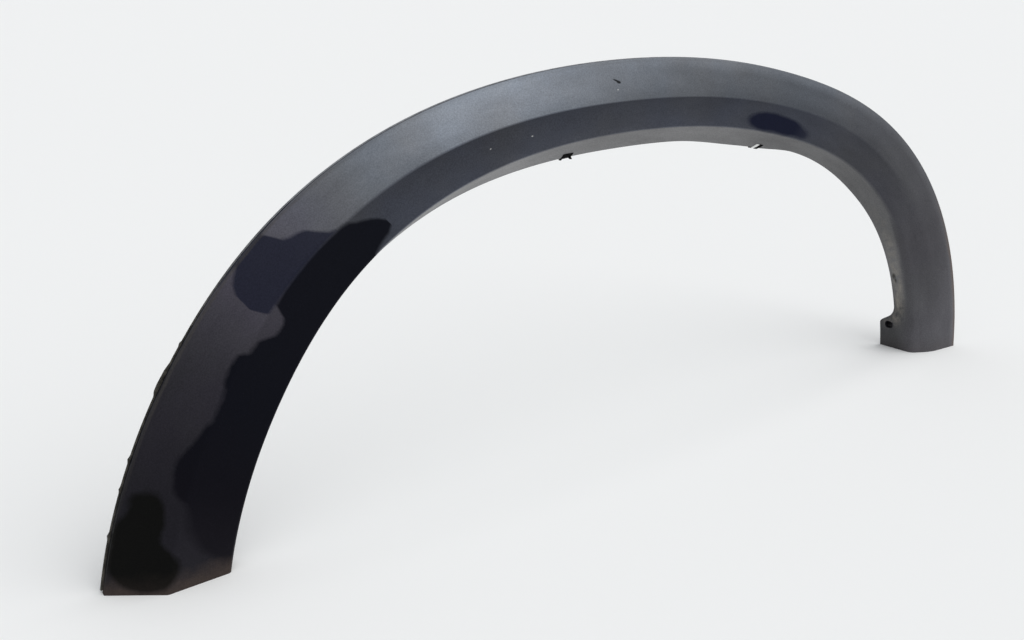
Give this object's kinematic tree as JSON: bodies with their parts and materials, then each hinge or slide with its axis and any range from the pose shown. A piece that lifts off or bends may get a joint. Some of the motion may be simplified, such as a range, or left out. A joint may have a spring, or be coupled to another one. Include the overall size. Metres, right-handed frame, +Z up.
{
  "type": "wheel arch trim",
  "caption": "Moulded wheel arch trim: a creased, arched band with a slanted return flange, a screw tab, an edge seal and clips, which covers the edge of a car's wheel opening.",
  "frame": {"origin": "middle of the part's box in plan, on the plane of its two feet", "axes": "+X from the front foot to the rear foot, +Y from the outer face to the back, +Z up, as it is fixed on the car"},
  "size_m": [0.9346, 0.0528, 0.3524],
  "materials": {
    "moulding": "satin grained dark grey plastic, dusty and worn",
    "seal": "dusty rubber",
    "retainer": "natural nylon",
    "clip_dark": "black plastic",
    "clip_light": "white plastic"
  },
  "bodies": {
    "root": {"arch_moulding": "moulding", "edge_seal": "seal", "retainers": "retainer", "flange_clip_left": "clip_dark", "flange_clip_right": "clip_light"}
  },
  "joints": []
}
